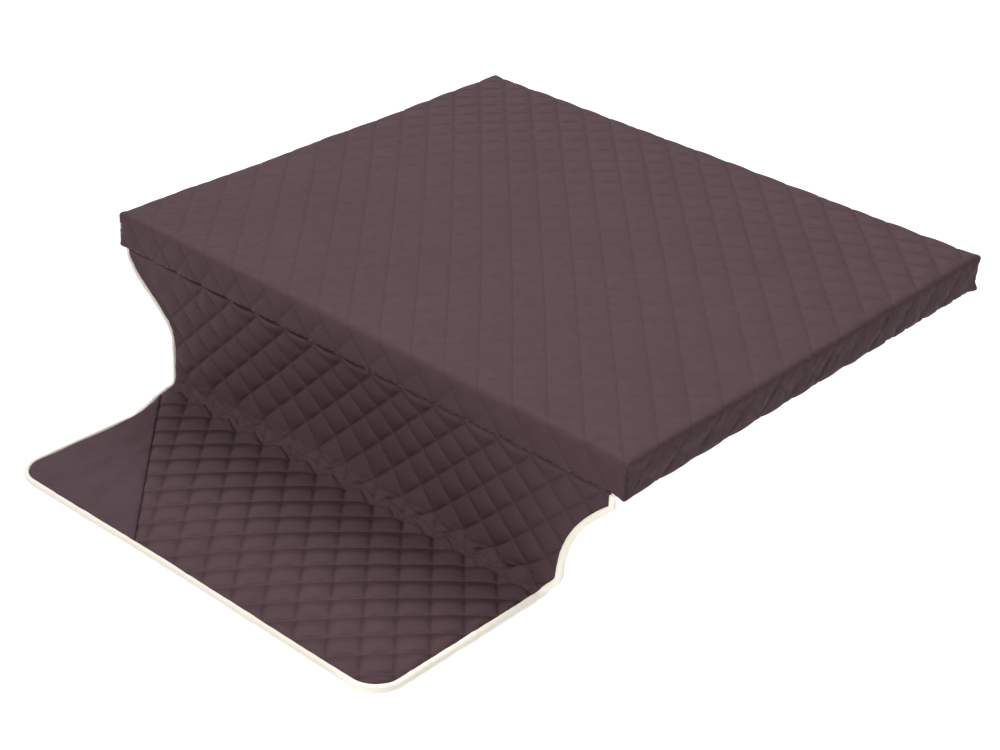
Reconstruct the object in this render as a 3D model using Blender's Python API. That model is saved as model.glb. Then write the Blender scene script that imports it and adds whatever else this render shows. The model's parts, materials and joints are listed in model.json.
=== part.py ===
"""Quilted car boot mat with a fold-out bumper flap.

Units are metres and +Z is up. The origin is the centre of the pad's underside, and the flap hangs
from the pad's front edge, which faces -Y. The flap hangs down from its seam, bends at its crease and
lies flat towards -Y.
"""

import math

import bmesh
import bpy
from mathutils import Matrix, Vector

# Foam pad and its cover
PAD_WIDTH = 1.05
PAD_DEPTH = 0.90
PAD_HEIGHT = 0.058
CORNER_RADIUS = 0.014
EDGE_RADIUS = 0.010
FACE_CLOTH = 0.0015
PAD_WADDING = 0.005
BACKING_CLOTH = 0.0008
BASE_CLOTH = 0.0015
BINDING_WIDTH = 0.004
LAYER_GAP = 0.0004
BEND_STEPS = 4
CORNER_STEPS = 5

# Flap, hanging section: its half width eases from the seam's to the crease's over SHOULDER_DROP
SEAM_HALF_WIDTH = 0.500
CREASE_HALF_WIDTH = 0.403
SHOULDER_DROP = 0.145
FLAP_DROP = 0.21
FLAP_SETBACK = 0.001
FLAP_WADDING = 0.006
LINING_CLOTH = 0.001
FACE_START = 0.004
WADDING_START = 0.012
LINING_START = 0.016
EDGE_STEPS = 18

# Flap, outer section
FLAP_REACH = 0.331
OUTER_LEFT = 0.371
OUTER_RIGHT = 0.392
FLARE_LENGTH = 0.12
OUTER_CORNER_RADIUS = 0.044
CREASE_GAP = 0.001
BINDING_BULGE = 0.0055
BINDING_STEPS = 5

# Plain corner panel: its seam runs diagonally between these two points of the outer section
CORNER_SEAM_START = (-0.3895, -0.489)
CORNER_SEAM_END = (-0.1020, -0.7745)
SEAM_HALF_GAP = 0.0003

# Threads
THREAD = 0.0008
THREAD_CLEARANCE = 0.0003
SEAM_THREAD_HEIGHT = 0.0012
DART_WIDTH = 0.0014
DART_FOOT = 0.004

# Zip in the rear edge of the cover
ZIP_HALF_LENGTH = 0.405
ZIP_OPENING_HALF = 0.420
ZIP_OPENING_TOP = 0.0215
ZIP_LINE = 0.0118
ZIP_DEPTH = 0.0034
TAPE_CLOTH = 0.0008
TAPE_INNER = 0.0012
TAPE_OUTER = 0.0090
COIL_INNER = 0.0005
COIL_OUTER = 0.0022
COIL_DEPTH = 0.0020
STOP_LENGTH = 0.003
SLIDER_LENGTH = 0.011
SLIDER_HALF_HEIGHT = 0.0045
SLIDER_PLATE = 0.0013
SLIDER_X = 0.396
WEB_HALF = 0.00018
ARCH_HALF_LENGTH = 0.0040
ARCH_HALF_WIDTH = 0.0011
ARCH_BAR = 0.0010
ARCH_CLEAR = 0.0023
PULL_THICKNESS = 0.0012
PULL_HALF_WIDTH = 0.0034
PULL_EYE_HALF = 0.0017
PULL_EYE_END = 0.0054
PULL_LENGTH = 0.027
PULL_TIP_STEPS = 8

SMOOTH_ANGLE = math.radians(35)

SEAM_AXIS = (0.0, -PAD_DEPTH / 2, 0.0)
FLAP_FACE_Y = -PAD_DEPTH / 2 + FLAP_SETBACK
CREASE_AXIS = (0.0, FLAP_FACE_Y, -FLAP_DROP)
FLAP_FRONT_Y = -PAD_DEPTH / 2 - FLAP_REACH

# Depths below the flap's quilted face, from one layer to the next
WADDING_TOP = FACE_CLOTH + LAYER_GAP
WADDING_END = WADDING_TOP + FLAP_WADDING
LINING_TOP = WADDING_END + LAYER_GAP
FLAP_THICKNESS = LINING_TOP + LINING_CLOTH


def clear_scene():
    for obj in list(bpy.data.objects):
        bpy.data.objects.remove(obj, do_unlink=True)


def material(name, color, roughness, metallic=0.0):
    mat = bpy.data.materials.new(name)
    mat.use_nodes = True
    shader = mat.node_tree.nodes["Principled BSDF"]
    shader.inputs["Base Color"].default_value = (*color, 1.0)
    shader.inputs["Roughness"].default_value = roughness
    shader.inputs["Metallic"].default_value = metallic
    return mat


def add_piece(name, bm, mat, origin=(0.0, 0.0, 0.0)):
    """Turn world-space geometry into an object whose origin is at the given point."""
    bmesh.ops.recalc_face_normals(bm, faces=bm.faces)
    bmesh.ops.translate(bm, verts=bm.verts, vec=-Vector(origin))
    mesh = bpy.data.meshes.new(name)
    bm.to_mesh(mesh)
    bm.free()
    mesh.shade_smooth()
    mesh.set_sharp_from_angle(angle=SMOOTH_ANGLE)
    mesh.materials.append(mat)
    obj = bpy.data.objects.new(name, mesh)
    obj.location = origin
    bpy.context.scene.collection.objects.link(obj)
    return obj


def on_floor(x, y, z):
    """Place an outline drawn in plan; its third value is the height."""
    return (x, y, z)


def on_front(x, z, y):
    """Place an outline drawn in front view; its third value is the depth."""
    return (x, y, z)


def half_cosine(start, end, share):
    """Ease from start to end with no slope at either of them."""
    share = min(max(share, 0.0), 1.0)
    return end + (start - end) * (1.0 + math.cos(math.pi * share)) / 2.0


def arc(center, radius, start_deg, end_deg, steps):
    points = []
    for step in range(steps + 1):
        angle = math.radians(start_deg + (end_deg - start_deg) * step / steps)
        points.append((center[0] + radius * math.cos(angle), center[1] + radius * math.sin(angle)))
    return points


def rounded_rectangle(half_x, half_y, radius):
    corners = ((1, 1, 0), (-1, 1, 90), (-1, -1, 180), (1, -1, 270))
    points = []
    for sign_x, sign_y, start in corners:
        center = (sign_x * (half_x - radius), sign_y * (half_y - radius))
        points += arc(center, radius, start, start + 90, CORNER_STEPS)
    return points


def add_box(bm, low, high):
    size = [high[i] - low[i] for i in range(3)]
    center = [(high[i] + low[i]) / 2 for i in range(3)]
    matrix = Matrix.Translation(center) @ Matrix.Diagonal((*size, 1.0))
    bmesh.ops.create_cube(bm, size=1.0, matrix=matrix)


def bridge(bm, ring_a, ring_b):
    count = len(ring_a)
    for i in range(count):
        j = (i + 1) % count
        bm.faces.new((ring_a[i], ring_a[j], ring_b[j], ring_b[i]))


def prism(outline, place, low, high):
    """Extrude a closed outline between two levels."""
    bm = bmesh.new()
    lower = [bm.verts.new(place(u, v, low)) for u, v in outline]
    upper = [bm.verts.new(place(u, v, high)) for u, v in outline]
    bridge(bm, lower, upper)
    bm.faces.new(lower)
    bm.faces.new(upper)
    return bm


def frame_prism(outer, inner, place, low, high):
    """Extrude the band between two closed outlines with the same number of points."""
    bm = bmesh.new()
    rings = []
    for outline, level in ((outer, low), (outer, high), (inner, high), (inner, low)):
        rings.append([bm.verts.new(place(u, v, level)) for u, v in outline])
    for i, ring in enumerate(rings):
        bridge(bm, ring, rings[(i + 1) % len(rings)])
    return bm


def path_normals(path, outward):
    """Unit normals of an open path, on its left side for outward 1 and its right side for -1."""
    normals = []
    for i in range(len(path)):
        before = Vector(path[max(i - 1, 0)])
        after = Vector(path[min(i + 1, len(path) - 1)])
        along = (after - before).normalized()
        normals.append(Vector((-along.y, along.x)) * outward)
    return normals


def sweep_edge(path, outward, section, place):
    """Sweep a closed section of (offset, level) pairs along an open path, with capped ends."""
    bm = bmesh.new()
    rings = []
    for point, normal in zip(path, path_normals(path, outward)):
        ring = []
        for offset, level in section:
            spot = Vector(point) + normal * offset
            ring.append(bm.verts.new(place(spot.x, spot.y, level)))
        rings.append(ring)
    for ring_a, ring_b in zip(rings, rings[1:]):
        bridge(bm, ring_a, ring_b)
    bm.faces.new(rings[0])
    bm.faces.new(rings[-1])
    return bm


def clip_outline(outline, start, end, side):
    """Keep the part of an outline on one side of a line, SEAM_HALF_GAP clear of it."""
    along = (Vector(end) - Vector(start)).normalized()
    normal = Vector((-along.y, along.x)) * side
    kept = []
    for i, point in enumerate(outline):
        here = Vector(point)
        there = Vector(outline[(i + 1) % len(outline)])
        here_depth = (here - Vector(start)).dot(normal) - SEAM_HALF_GAP
        there_depth = (there - Vector(start)).dot(normal) - SEAM_HALF_GAP
        if here_depth >= 0.0:
            kept.append(tuple(here))
        if here_depth * there_depth < 0.0:
            share = here_depth / (here_depth - there_depth)
            kept.append(tuple(here.lerp(there, share)))
    return kept


def pad_shell(bm, depth, low):
    """One surface `depth` inside the pad's own, up its side and over its rounded top edge."""
    top = PAD_HEIGHT - depth
    edge_radius = max(EDGE_RADIUS - depth, EDGE_RADIUS / 5)
    heights = [(0.0, low)]
    for step in range(BEND_STEPS + 1):
        angle = math.radians(90 * step / BEND_STEPS)
        heights.append((edge_radius * (1 - math.cos(angle)), top - edge_radius * (1 - math.sin(angle))))
    rings = []
    for shrink, height in heights:
        radius = max(CORNER_RADIUS - depth, edge_radius * 1.2) - shrink
        outline = rounded_rectangle(PAD_WIDTH / 2 - depth - shrink, PAD_DEPTH / 2 - depth - shrink, radius)
        rings.append([bm.verts.new((x, y, height)) for x, y in outline])
    for ring_a, ring_b in zip(rings, rings[1:]):
        bridge(bm, ring_a, ring_b)
    bm.faces.new(rings[-1])
    return rings[0]


def tray(inset, wall, bottom):
    """Open-bottomed shell that fits `inset` inside the pad's outer surface."""
    bm = bmesh.new()
    bridge(bm, pad_shell(bm, inset, bottom), pad_shell(bm, inset + wall, bottom))
    return bm


def add_zip_opening():
    """Cutter for the opening that the zip fills, in the foot of the cover's rear side."""
    bm = bmesh.new()
    rear = PAD_DEPTH / 2
    depth = FACE_CLOTH + PAD_WADDING + BACKING_CLOTH + 4 * LAYER_GAP
    add_box(bm, (-ZIP_OPENING_HALF, rear - depth, -BINDING_WIDTH), (ZIP_OPENING_HALF, rear + depth, ZIP_OPENING_TOP))
    cutter = add_piece("zip_opening_cutter", bm, PLAIN_CLOTH)
    cutter.hide_render = True
    cutter.display_type = "WIRE"
    return cutter


def cut(obj, cutter):
    modifier = obj.modifiers.new("zip_opening", "BOOLEAN")
    modifier.operation = "DIFFERENCE"
    modifier.solver = "EXACT"
    modifier.object = cutter


def build_cover():
    """Three nested layers of quilted cover, each cut open for the zip."""
    cutter = add_zip_opening()
    bottom = BASE_CLOTH + LAYER_GAP
    inset = 0.0
    layers = (
        ("cover_face", FACE_CLOTH, QUILT_CLOTH),
        ("cover_wadding", PAD_WADDING, WADDING),
        ("cover_backing", BACKING_CLOTH, WADDING),
    )
    for name, thickness, mat in layers:
        cut(add_piece(name, tray(inset, thickness, bottom), mat), cutter)
        inset += thickness + LAYER_GAP
    return inset


def build_foam(inset):
    bm = bmesh.new()
    bm.faces.new(pad_shell(bm, inset, BASE_CLOTH + LAYER_GAP))
    add_piece("foam_core", bm, FOAM)


def build_base():
    """Cream base panel inside a rolled edge that shows at the pad's foot."""
    inner = BINDING_WIDTH + LAYER_GAP
    outlines = []
    for depth in (0.0, BINDING_WIDTH, inner):
        half_x = PAD_WIDTH / 2 - depth
        half_y = PAD_DEPTH / 2 - depth
        outlines.append(rounded_rectangle(half_x, half_y, CORNER_RADIUS - depth))
    add_piece("base_panel", prism(outlines[2], on_floor, 0.0, BASE_CLOTH), CREAM_CLOTH)
    bm = frame_prism(outlines[0], outlines[1], on_floor, 0.0, BASE_CLOTH)
    add_piece("base_edge_binding", bm, CREAM_CLOTH)


def build_corner_darts():
    """Stitched seam up each corner of the cover."""
    reach = CORNER_RADIUS + THREAD_CLEARANCE + THREAD / 2
    height = PAD_HEIGHT - EDGE_RADIUS - DART_FOOT
    for end, sign_y in (("front", -1), ("rear", 1)):
        for side, sign_x in (("left", -1), ("right", 1)):
            angle = math.atan2(sign_y, sign_x)
            x = sign_x * (PAD_WIDTH / 2 - CORNER_RADIUS) + reach * math.cos(angle)
            y = sign_y * (PAD_DEPTH / 2 - CORNER_RADIUS) + reach * math.sin(angle)
            matrix = Matrix.Translation((x, y, DART_FOOT + height / 2)) @ Matrix.Rotation(angle, 4, "Z")
            matrix = matrix @ Matrix.Diagonal((THREAD, DART_WIDTH, height, 1.0))
            bm = bmesh.new()
            bmesh.ops.create_cube(bm, size=1.0, matrix=matrix)
            add_piece(f"corner_seam_{end}_{side}", bm, THREAD_DARK)


def build_flap_seam_thread():
    """Pale thread of the seam that holds the flap under the pad's front edge."""
    bm = bmesh.new()
    front = -PAD_DEPTH / 2 - THREAD_CLEARANCE
    low = BASE_CLOTH + LAYER_GAP
    add_box(bm, (-SEAM_HALF_WIDTH, front - THREAD, low), (SEAM_HALF_WIDTH, front, low + SEAM_THREAD_HEIGHT))
    add_piece("flap_seam_thread", bm, THREAD_PALE)


def build_zip():
    """Closed coil zip with its stops, slider and pull."""
    tape_y = PAD_DEPTH / 2 - ZIP_DEPTH
    coil_y = tape_y + LAYER_GAP
    for name, side in (("upper", 1), ("lower", -1)):
        tape = bmesh.new()
        levels = sorted((ZIP_LINE + side * TAPE_INNER, ZIP_LINE + side * TAPE_OUTER))
        add_box(
            tape,
            (-ZIP_OPENING_HALF + LAYER_GAP, tape_y - TAPE_CLOTH, levels[0]),
            (ZIP_OPENING_HALF - LAYER_GAP, tape_y, levels[1]))
        add_piece(f"zip_tape_{name}", tape, PLAIN_CLOTH)
        coil = bmesh.new()
        levels = sorted((ZIP_LINE + side * COIL_INNER, ZIP_LINE + side * COIL_OUTER))
        add_box(coil, (-ZIP_HALF_LENGTH, coil_y, levels[0]), (ZIP_HALF_LENGTH, coil_y + COIL_DEPTH, levels[1]))
        add_piece(f"zip_coil_{name}", coil, ZIP_NYLON)

    for name, side in (("left", -1), ("right", 1)):
        stop = bmesh.new()
        ends = sorted((side * (ZIP_HALF_LENGTH + LAYER_GAP), side * (ZIP_HALF_LENGTH + STOP_LENGTH)))
        add_box(
            stop,
            (ends[0], coil_y, ZIP_LINE - COIL_OUTER),
            (ends[1], coil_y + COIL_DEPTH, ZIP_LINE + COIL_OUTER))
        add_piece(f"zip_stop_{name}", stop, ZIP_METAL)

    front_y = coil_y + COIL_DEPTH + LAYER_GAP
    build_slider(tape_y - TAPE_CLOTH - LAYER_GAP, front_y)
    build_pull(front_y + SLIDER_PLATE)


def union(parts, name, mat, origin):
    """Join overlapping solids into one with EXACT Booleans, whose cutters stay hidden."""
    body = add_piece(name, parts[0], mat, origin)
    for index, bm in enumerate(parts[1:], start=1):
        tool = add_piece(f"{name}_tool_{index}", bm, mat, origin)
        tool.hide_render = True
        tool.display_type = "WIRE"
        modifier = body.modifiers.new(f"join_{index}", "BOOLEAN")
        modifier.operation = "UNION"
        modifier.solver = "EXACT"
        modifier.object = tool


def box_part(low, high):
    bm = bmesh.new()
    add_box(bm, low, high)
    return bm


def build_slider(back_y, front_y):
    """Front and back plates joined by a thin web between the coils, with an arch for the pull."""
    low_x = SLIDER_X - SLIDER_LENGTH / 2
    high_x = SLIDER_X + SLIDER_LENGTH / 2
    low_z = ZIP_LINE - SLIDER_HALF_HEIGHT
    high_z = ZIP_LINE + SLIDER_HALF_HEIGHT
    plate_y = front_y + SLIDER_PLATE
    arch_top = plate_y + ARCH_CLEAR + ARCH_BAR
    overlap = SLIDER_PLATE / 3
    parts = [
        box_part((low_x, front_y, low_z), (high_x, plate_y, high_z)),
        box_part((low_x, back_y - SLIDER_PLATE, low_z), (high_x, back_y, high_z)),
        box_part(
            (low_x + overlap, back_y - overlap, ZIP_LINE - WEB_HALF),
            (high_x - overlap, front_y + overlap, ZIP_LINE + WEB_HALF)),
        box_part(
            (SLIDER_X - ARCH_HALF_LENGTH, plate_y + ARCH_CLEAR, ZIP_LINE - ARCH_HALF_WIDTH),
            (SLIDER_X + ARCH_HALF_LENGTH, arch_top, ZIP_LINE + ARCH_HALF_WIDTH)),
    ]
    inner_width = ARCH_HALF_WIDTH * 0.9
    for side in (-1, 1):
        outer = SLIDER_X + side * (ARCH_HALF_LENGTH - ARCH_BAR / 10)
        ends = sorted((outer, outer - side * ARCH_BAR))
        parts.append(box_part(
            (ends[0], plate_y - overlap, ZIP_LINE - inner_width),
            (ends[1], arch_top - overlap / 2, ZIP_LINE + inner_width)))
    union(parts, "zip_slider", ZIP_METAL, (SLIDER_X, PAD_DEPTH / 2, ZIP_LINE))


def build_pull(plate_y):
    """Flat pull with an eye round the slider's arch, lying along the zip towards -X."""
    middle_y = plate_y + ARCH_CLEAR / 2
    low = middle_y - PULL_THICKNESS / 2
    high = middle_y + PULL_THICKNESS / 2
    bar = PULL_THICKNESS / 2
    tip_radius = PULL_HALF_WIDTH
    tip = arc((SLIDER_X - PULL_LENGTH + tip_radius, ZIP_LINE), tip_radius, 90, 270, PULL_TIP_STEPS)
    outline = [(SLIDER_X + bar, ZIP_LINE + PULL_HALF_WIDTH)] + tip + [(SLIDER_X + bar, ZIP_LINE - PULL_HALF_WIDTH)]
    pull = add_piece("zip_pull", prism(outline, on_front, low, high), ZIP_METAL, (SLIDER_X, middle_y, ZIP_LINE))
    eye = box_part(
        (SLIDER_X - PULL_EYE_END, low - bar, ZIP_LINE - PULL_EYE_HALF),
        (SLIDER_X - bar, high + bar, ZIP_LINE + PULL_EYE_HALF))
    cutter = add_piece("zip_pull_eye_cutter", eye, ZIP_METAL, (SLIDER_X, middle_y, ZIP_LINE))
    cutter.hide_render = True
    cutter.display_type = "WIRE"
    cut(pull, cutter)


def shoulder_half_width(drop):
    return half_cosine(SEAM_HALF_WIDTH, CREASE_HALF_WIDTH, drop / SHOULDER_DROP)


def upper_edge(side, start_drop):
    """Side edge of the hanging section in front view, from the seam down to the crease."""
    end_drop = FLAP_DROP - CREASE_GAP
    points = []
    for step in range(EDGE_STEPS + 1):
        drop = start_drop + (end_drop - start_drop) * step / EDGE_STEPS
        points.append((side * shoulder_half_width(drop), -drop))
    return points


def outer_edge(side):
    """Side edge of the outer section in plan, from the crease to the middle of the front edge."""
    straight = OUTER_LEFT if side < 0 else OUTER_RIGHT
    start = FLAP_FACE_Y - CREASE_GAP
    points = []
    for step in range(EDGE_STEPS + 1):
        share = step / EDGE_STEPS
        half_width = half_cosine(CREASE_HALF_WIDTH, straight, share)
        points.append((side * half_width, start - FLARE_LENGTH * share))
    center = (side * (straight - OUTER_CORNER_RADIUS), FLAP_FRONT_Y + OUTER_CORNER_RADIUS)
    start_deg = 0 if side > 0 else 180
    points += arc(center, OUTER_CORNER_RADIUS, start_deg, 270 if side < 0 else -90, 2 * CORNER_STEPS)
    return points


def binding_section(level, step_down):
    """Half-round edge roll as thick as the flap, bulging away from the layers' edge."""
    half = FLAP_THICKNESS / 2
    section = [(LAYER_GAP, level), (LAYER_GAP, level + step_down * FLAP_THICKNESS)]
    for step in range(BINDING_STEPS + 1):
        angle = math.radians(90 - 180 * step / BINDING_STEPS)
        offset = LAYER_GAP + THREAD + (BINDING_BULGE - THREAD) * math.cos(angle)
        section.append((offset, level + step_down * (half + half * math.sin(angle))))
    return section


def build_flap_upper():
    """Hanging section: quilted face, wadding and lining, with a rolled edge on both sides."""
    layers = (
        ("flap_upper_face", FACE_START, 0.0, FACE_CLOTH, QUILT_CLOTH),
        ("flap_upper_wadding", WADDING_START, WADDING_TOP, WADDING_END, WADDING),
        ("flap_upper_lining", LINING_START, LINING_TOP, FLAP_THICKNESS, CREAM_CLOTH),
    )
    for name, start, near, far, mat in layers:
        outline = upper_edge(-1, start) + upper_edge(1, start)[::-1]
        bm = prism(outline, on_front, FLAP_FACE_Y + near, FLAP_FACE_Y + far)
        add_piece(name, bm, mat, SEAM_AXIS)
    for name, side in (("left", -1), ("right", 1)):
        path = upper_edge(side, LINING_START)
        bm = sweep_edge(path, side, binding_section(FLAP_FACE_Y, 1), on_front)
        add_piece(f"flap_upper_binding_{name}", bm, CREAM_CLOTH, SEAM_AXIS)


def build_flap_outer():
    """Outer section: the same layers lying flat, with a plain panel in one corner of the face."""
    outline = outer_edge(-1) + outer_edge(1)[::-1]
    top = -FLAP_DROP
    face = clip_outline(outline, CORNER_SEAM_START, CORNER_SEAM_END, 1)
    corner = clip_outline(outline, CORNER_SEAM_START, CORNER_SEAM_END, -1)
    layers = (
        ("flap_outer_face", face, 0.0, FACE_CLOTH, QUILT_CLOTH),
        ("flap_corner_panel", corner, 0.0, FACE_CLOTH, PLAIN_CLOTH),
        ("flap_outer_wadding", outline, WADDING_TOP, WADDING_END, WADDING),
        ("flap_outer_lining", outline, LINING_TOP, FLAP_THICKNESS, CREAM_CLOTH),
    )
    for name, shape, near, far, mat in layers:
        add_piece(name, prism(shape, on_floor, top - far, top - near), mat, CREASE_AXIS)
    bm = sweep_edge(outline, -1, binding_section(top, -1), on_floor)
    add_piece("flap_outer_binding", bm, CREAM_CLOTH, CREASE_AXIS)
    build_corner_seam_thread(top)


def build_corner_seam_thread(top):
    """Thread along the diagonal seam of the corner panel."""
    start = Vector(CORNER_SEAM_START)
    end = Vector(CORNER_SEAM_END)
    along = end - start
    middle = (start + end) / 2
    height = top + THREAD_CLEARANCE + THREAD / 2
    matrix = Matrix.Translation((middle.x, middle.y, height))
    matrix = matrix @ Matrix.Rotation(math.atan2(along.y, along.x), 4, "Z")
    matrix = matrix @ Matrix.Diagonal((along.length, THREAD, THREAD, 1.0))
    bm = bmesh.new()
    bmesh.ops.create_cube(bm, size=1.0, matrix=matrix)
    add_piece("corner_seam_thread", bm, THREAD_DARK, CREASE_AXIS)


clear_scene()
QUILT_CLOTH = material("quilted_cloth", (0.112, 0.070, 0.078), 0.75)
PLAIN_CLOTH = material("plain_cloth", (0.112, 0.072, 0.080), 0.78)
CREAM_CLOTH = material("cream_cloth", (0.82, 0.74, 0.64), 0.85)
WADDING = material("wadding", (0.80, 0.80, 0.78), 0.95)
FOAM = material("foam", (0.72, 0.70, 0.60), 0.90)
THREAD_DARK = material("dark_thread", (0.060, 0.038, 0.042), 0.60)
THREAD_PALE = material("pale_thread", (0.70, 0.62, 0.54), 0.60)
ZIP_NYLON = material("zip_nylon", (0.080, 0.052, 0.058), 0.45)
ZIP_METAL = material("zip_metal", (0.50, 0.48, 0.46), 0.35, 1.0)

build_foam(build_cover())
build_base()
build_corner_darts()
build_flap_seam_thread()
build_zip()
build_flap_upper()
build_flap_outer()
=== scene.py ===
"""Looks of a quilted pad with a bent flap on its front edge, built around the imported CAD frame.

Metres, Z up. The origin is the centre of the pad's underside, and the flap hangs from the front edge (-Y).
Each cloth is laid out flat first, as points (u, v), and then put in its place on the pad or the flap.
"""

import json
import math
from contextlib import contextmanager

import bmesh
import bpy
import numpy as np
from mathutils import Matrix, Vector
from mathutils.geometry import delaunay_2d_cdt
from mathutils.kdtree import KDTree

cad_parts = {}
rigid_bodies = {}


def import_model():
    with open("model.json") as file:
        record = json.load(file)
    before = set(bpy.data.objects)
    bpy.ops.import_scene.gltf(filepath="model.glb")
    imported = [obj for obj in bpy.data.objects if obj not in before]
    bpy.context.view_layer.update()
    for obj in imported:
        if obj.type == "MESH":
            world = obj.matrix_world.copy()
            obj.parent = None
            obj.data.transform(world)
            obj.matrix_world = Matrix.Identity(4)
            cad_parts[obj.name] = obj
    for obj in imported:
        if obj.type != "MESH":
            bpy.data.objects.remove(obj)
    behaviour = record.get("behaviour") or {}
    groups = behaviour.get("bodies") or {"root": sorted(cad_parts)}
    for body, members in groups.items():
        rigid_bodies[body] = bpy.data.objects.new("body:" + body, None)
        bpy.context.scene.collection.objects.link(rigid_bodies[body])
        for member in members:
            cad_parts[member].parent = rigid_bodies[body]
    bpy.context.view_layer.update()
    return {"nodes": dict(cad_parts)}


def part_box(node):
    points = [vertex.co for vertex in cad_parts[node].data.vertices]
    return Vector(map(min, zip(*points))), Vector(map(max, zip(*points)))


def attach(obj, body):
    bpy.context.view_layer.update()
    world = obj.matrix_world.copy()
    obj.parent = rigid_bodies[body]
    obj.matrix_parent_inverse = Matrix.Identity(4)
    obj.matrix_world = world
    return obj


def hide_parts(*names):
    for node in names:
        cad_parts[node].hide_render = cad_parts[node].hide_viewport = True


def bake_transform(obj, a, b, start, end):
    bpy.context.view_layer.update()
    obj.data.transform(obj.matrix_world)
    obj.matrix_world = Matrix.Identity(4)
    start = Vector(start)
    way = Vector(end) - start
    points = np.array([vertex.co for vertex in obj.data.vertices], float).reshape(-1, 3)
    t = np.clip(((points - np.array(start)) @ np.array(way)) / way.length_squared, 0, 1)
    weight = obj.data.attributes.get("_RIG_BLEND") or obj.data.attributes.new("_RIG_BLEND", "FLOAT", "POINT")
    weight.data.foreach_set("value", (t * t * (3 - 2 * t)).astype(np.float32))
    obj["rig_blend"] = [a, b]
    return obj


for leftover in list(bpy.data.objects):
    bpy.data.objects.remove(leftover)

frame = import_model()

# ---------------- sizes

QUARTER = math.pi / 2
OUTLINE_PITCH = 0.005  # between points of a cut edge
EDGE_CLEAR = 0.0026  # between a cut edge and the nearest inner point
WELD = 2e-5

PAD_HALF_X, PAD_HALF_Y, PAD_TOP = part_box("cover_face")[1]
BEND = 0.0066  # radius of the cover's upper edge
FOOT_BEND = 0.002  # radius of its lower edge
FOOT_Z = -0.0010
HEM = 0.006
CORNER_FULL = 0.92  # how square the cover's corners are
CORNER_EASE = 0.93
ZIP_HALF = 0.420
ZIP_TOP = 0.0215

OUTER_LOW, OUTER_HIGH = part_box("flap_outer_face")
FACE_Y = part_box("flap_upper_face")[0].y
FLAP_DROP = -OUTER_HIGH.z
FRONT_Y = OUTER_LOW.y
SEAM_HALF = 0.500  # half widths of the flap
OUTER_LEFT = 0.371
OUTER_RIGHT = 0.396
FLARE_LEFT = 0.12
FLARE_RIGHT = 0.05
FRONT_LEAN = 0.005
CORNER = 0.044
HOLLOW = 0.016  # how far the hanging section falls in at its middle
HOLLOW_SPAN = 0.43
BEND_SOFT = 0.009
DEEPEST = 0.0066
PANEL_START = (-0.3895, -0.489)
PANEL_END = (-0.1020, -0.7745)
CURVE_STEP = 0.001
FLAP_LIMIT = 0.60

# the flap's layers, by how far behind its face they start and end
QUILT_LAYER = (0.0038, 0.0071)
PANEL_LAYER = (0.0008, 0.0070)
LINING_LAYER = (0.0081, 0.0090)
EDGE_DEPTH = 0.0046

PAD_CELLS = 8  # points to a diamond
FLAP_CELLS = 10
SEWN = 0.02  # how near to whole a line's value is on the line
PAD_PUFF = 0.0030
FLAP_PUFF = 0.0080
ROW_STAND = 0.0031  # how far the flap's rows stand up where it lies flat
ROW_FLATTEN = 0.40  # how much of their puffs they lose there
CREST_WAY = 0.2135  # way down the flap to the rolls at its bend
CREST_LOBE = 0.0085
STITCH_SINK = 0.0009
CLOTH = {
    "quality": 5, "mass": 0.2, "tension_stiffness": 20, "compression_stiffness": 20,
    "shear_stiffness": 8, "bending_stiffness": 1.5, "use_pressure": True,
}
CLOTH_FRAMES = 20

# ---------------- small helpers


def smooth(value, low, high):
    share = np.clip((value - low) / (high - low), 0.0, 1.0)
    return share * share * (3.0 - 2.0 * share)


def ripple(x, y, size, seed):
    """Smooth irregular field between about -1 and 1, the same on every run."""
    random = np.random.default_rng(seed)
    total = np.zeros_like(x)
    for _ in range(7):
        angle = random.uniform(0, 2 * math.pi)
        pitch = size * random.uniform(0.7, 1.6)
        phase = random.uniform(0, 2 * math.pi)
        total += np.sin(2 * math.pi * (x * math.cos(angle) + y * math.sin(angle)) / pitch + phase)
    return total / 3.7


def vectors(items, key):
    found = np.zeros(len(items) * 3)
    items.foreach_get(key, found)
    return found.reshape(-1, 3)


def coordinates(mesh):
    return vectors(mesh.vertices, "co")


def normals(mesh):
    return vectors(mesh.vertex_normals, "vector")


def set_coordinates(mesh, points):
    mesh.vertices.foreach_set("co", np.ascontiguousarray(points).ravel())
    mesh.update()


def unit(rows):
    """The same directions, each one long."""
    return rows / np.linalg.norm(rows, axis=1)[:, None]


def way_along(points):
    """Distance from the first of the points to each, along them."""
    return np.concatenate([[0], np.cumsum(np.linalg.norm(np.diff(points, axis=0), axis=1))])


def read(mesh, *names):
    """The named values of the mesh's points: one array, or one to a name."""
    found = []
    for name in names:
        values = np.zeros(len(mesh.vertices))
        mesh.attributes[name].data.foreach_get("value", values)
        found.append(values)
    return found if len(names) > 1 else found[0]


def write(mesh, name, values, kind="POINT"):
    """Give the mesh's points, or its edges, a named value each."""
    found = mesh.attributes.new(name, "FLOAT", kind)
    found.data.foreach_set("value", np.asarray(values, dtype=np.float32))


def make_object(name, points, faces, mat):
    mesh = bpy.data.meshes.new(name)
    mesh.from_pydata([tuple(p) for p in points], [], [tuple(f) for f in faces])
    mesh.validate()
    obj = bpy.data.objects.new(name, mesh)
    bpy.context.scene.collection.objects.link(obj)
    mesh.materials.append(mat)
    mesh.polygons.foreach_set("use_smooth", [True] * len(mesh.polygons))
    return obj


@contextmanager
def edited(obj):
    """Lend obj's mesh out for a change."""
    bm = bmesh.new()
    bm.from_mesh(obj.data)
    yield bm
    bm.to_mesh(obj.data)
    bm.free()
    obj.data.update()


def face_outward(obj):
    """Turn a closed body's faces outward, and give the body back."""
    with edited(obj) as bm:
        bmesh.ops.recalc_face_normals(bm, faces=bm.faces)
    return obj


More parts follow.
